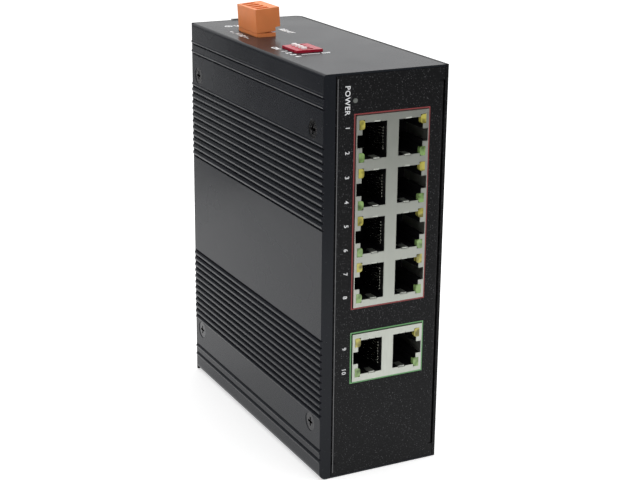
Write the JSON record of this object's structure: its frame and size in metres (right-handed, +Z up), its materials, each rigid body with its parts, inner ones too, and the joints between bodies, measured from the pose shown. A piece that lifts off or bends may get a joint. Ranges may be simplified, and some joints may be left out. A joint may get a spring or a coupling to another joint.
{
  "type": "din rail ethernet switch",
  "caption": "Upright network switch for a DIN rail: ribbed extruded housing, stacked shielded jacks on the front, pluggable power terminal and a small slide switch on top.",
  "frame": {"origin": "centre of the housing's bottom face", "axes": "+X from the ribbed wall to the sheet cover, +Y from the port face back to the rail, +Z up"},
  "size_m": [0.0479, 0.1187, 0.1504],
  "materials": {
    "housing": "semi-gloss powder coat",
    "plate": "fine texture powder coat",
    "cover": "fine texture powder coat",
    "black_screw": "black oxide",
    "steel_screw": "zinc plated",
    "shield": "bright plated",
    "insulator": "moulded",
    "contact": "gold plated",
    "yellow_light": "clear tinted",
    "green_light": "clear tinted",
    "board": "solder mask",
    "chip": "moulded",
    "aluminium": "plain",
    "magnetics": "moulded",
    "orange": "moulded",
    "tin": "tin plated",
    "red": "moulded",
    "white": "moulded",
    "bracket": "zinc plated",
    "latch": "moulded"
  },
  "bodies": {
    "switch": {"body_extrusion": "housing", "front_plate": "plate", "wrap_cover": "cover", "side_screws": "black_screw", "cover_screws": "black_screw", "jack_shield_large": "shield", "jack_shield_small": "shield", "port_module_1": "insulator", "port_module_2": "insulator", "port_module_3": "insulator", "port_module_4": "insulator", "port_module_5": "insulator", "contacts_large": "contact", "contacts_small": "contact", "yellow_lights": "yellow_light", "green_lights": "green_light", "power_light": "green_light", "main_board": "board", "io_board": "board", "board_spacers": "tin", "board_screws": "steel_screw", "board_link": "chip", "transformers": "magnetics", "switch_chip": "chip", "heat_sink": "aluminium", "capacitors": "aluminium", "power_inductor": "magnetics", "header_pins": "tin", "terminal_header": "orange", "terminal_plug": "orange", "plug_clamps": "tin", "plug_screws": "steel_screw", "dip_base": "red", "din_bracket": "bracket", "bracket_screws": "steel_screw", "bracket_nuts": "steel_screw", "latch_spring": "steel_screw"},
    "dip_key_1_body": {"dip_key_1": "white"},
    "dip_key_2_body": {"dip_key_2": "white"},
    "dip_key_3_body": {"dip_key_3": "white"},
    "dip_key_4_body": {"dip_key_4": "white"},
    "din_latch_body": {"din_latch": "latch"}
  },
  "joints": [
    {"name": "dip_key_1_slide", "type": "slide", "parent": "switch", "child": "dip_key_1_body", "axis": [1, 0, 0], "range_m": [0, 0.0024]},
    {"name": "dip_key_2_slide", "type": "slide", "parent": "switch", "child": "dip_key_2_body", "axis": [1, 0, 0], "range_m": [0, 0.0024]},
    {"name": "dip_key_3_slide", "type": "slide", "parent": "switch", "child": "dip_key_3_body", "axis": [1, 0, 0], "range_m": [0, 0.0024]},
    {"name": "dip_key_4_slide", "type": "slide", "parent": "switch", "child": "dip_key_4_body", "axis": [1, 0, 0], "range_m": [0, 0.0024]},
    {"name": "latch_slide", "type": "slide", "parent": "switch", "child": "din_latch_body", "axis": [0, 0, -1], "range_m": [0, 0.005], "stiffness_N_per_m": 2500, "springref_m": -0.002, "deforming": ["latch_spring"]}
  ]
}
